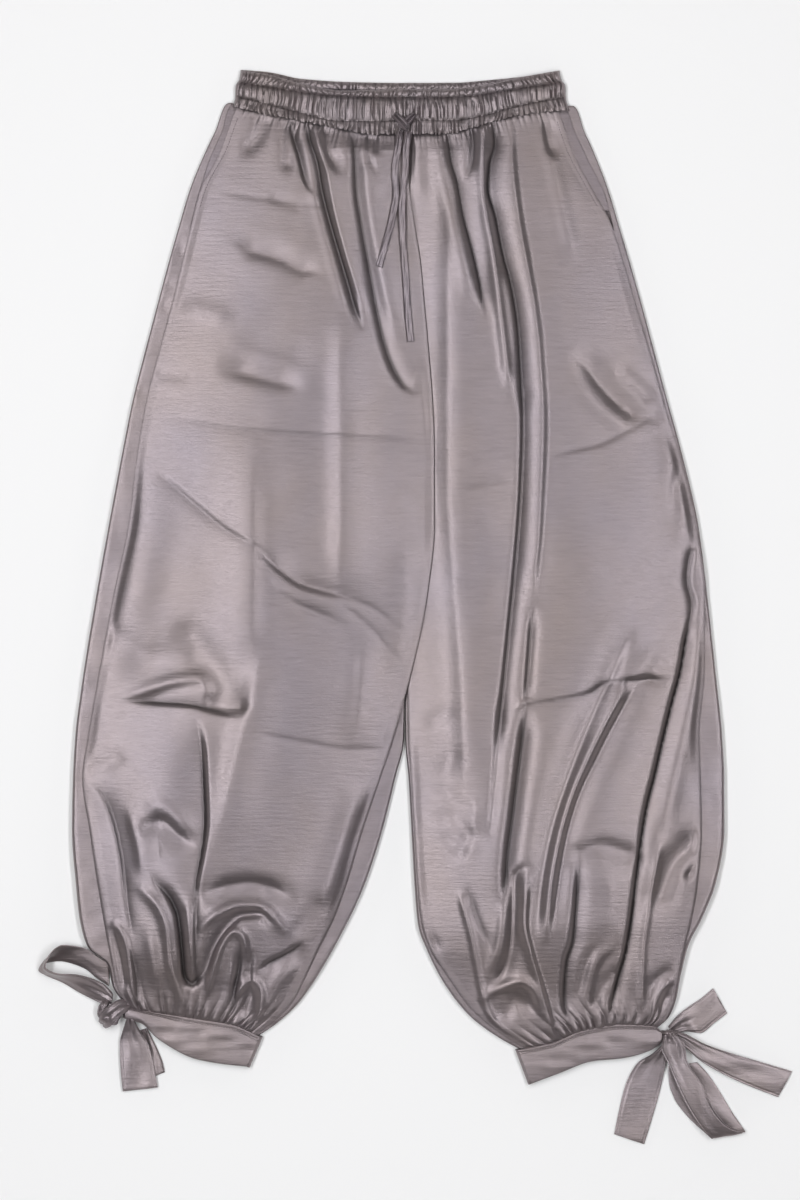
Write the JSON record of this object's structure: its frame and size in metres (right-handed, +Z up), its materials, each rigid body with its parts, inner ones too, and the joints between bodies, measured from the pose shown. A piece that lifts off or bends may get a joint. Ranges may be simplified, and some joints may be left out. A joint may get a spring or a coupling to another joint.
{
  "type": "satin balloon trousers with tied cuffs",
  "caption": "Loose satin trousers laid flat, with a gathered elastic waist, drawstring, slanted side pockets and full legs drawn into cuffs tied in bows.",
  "frame": {"origin": "under the middle of the garment's outline, on the surface it lies on", "axes": "+Y from the cuffs towards the waist, +X towards the wearer's left leg, +Z up out of the surface"},
  "size_m": [0.7538, 1.074, 0.0329],
  "materials": {
    "satin_panel": "mauve-grey satin with a fine horizontal grain",
    "satin_band": "gathered mauve-grey satin over elastic, stitched in rows",
    "satin_tie": "doubled mauve-grey satin with pressed edges",
    "satin_drawstring": "narrow flat tie of mauve-grey satin",
    "satin_facing": "mauve-grey satin inside the pocket mouth"
  },
  "bodies": {
    "root": {"front_leg_right": "satin_panel", "front_leg_left": "satin_panel", "back_leg_right": "satin_panel", "back_leg_left": "satin_panel", "pocket_facing_right": "satin_facing", "pocket_facing_left": "satin_facing", "waistband_front": "satin_band", "waistband_back": "satin_band", "cuff_right": "satin_band", "cuff_left": "satin_band", "tie_right_loop": "satin_tie", "tie_right_tail": "satin_tie", "tie_right_tail_behind": "satin_tie", "tie_left_tail_up": "satin_tie", "tie_left_tail_side": "satin_tie", "tie_left_loop": "satin_tie", "tie_left_tail_down": "satin_tie", "tie_right_knot": "satin_tie", "tie_left_knot": "satin_tie", "drawstring_knot": "satin_drawstring", "drawstring_end_right": "satin_drawstring", "drawstring_end_left": "satin_drawstring"}
  },
  "joints": []
}
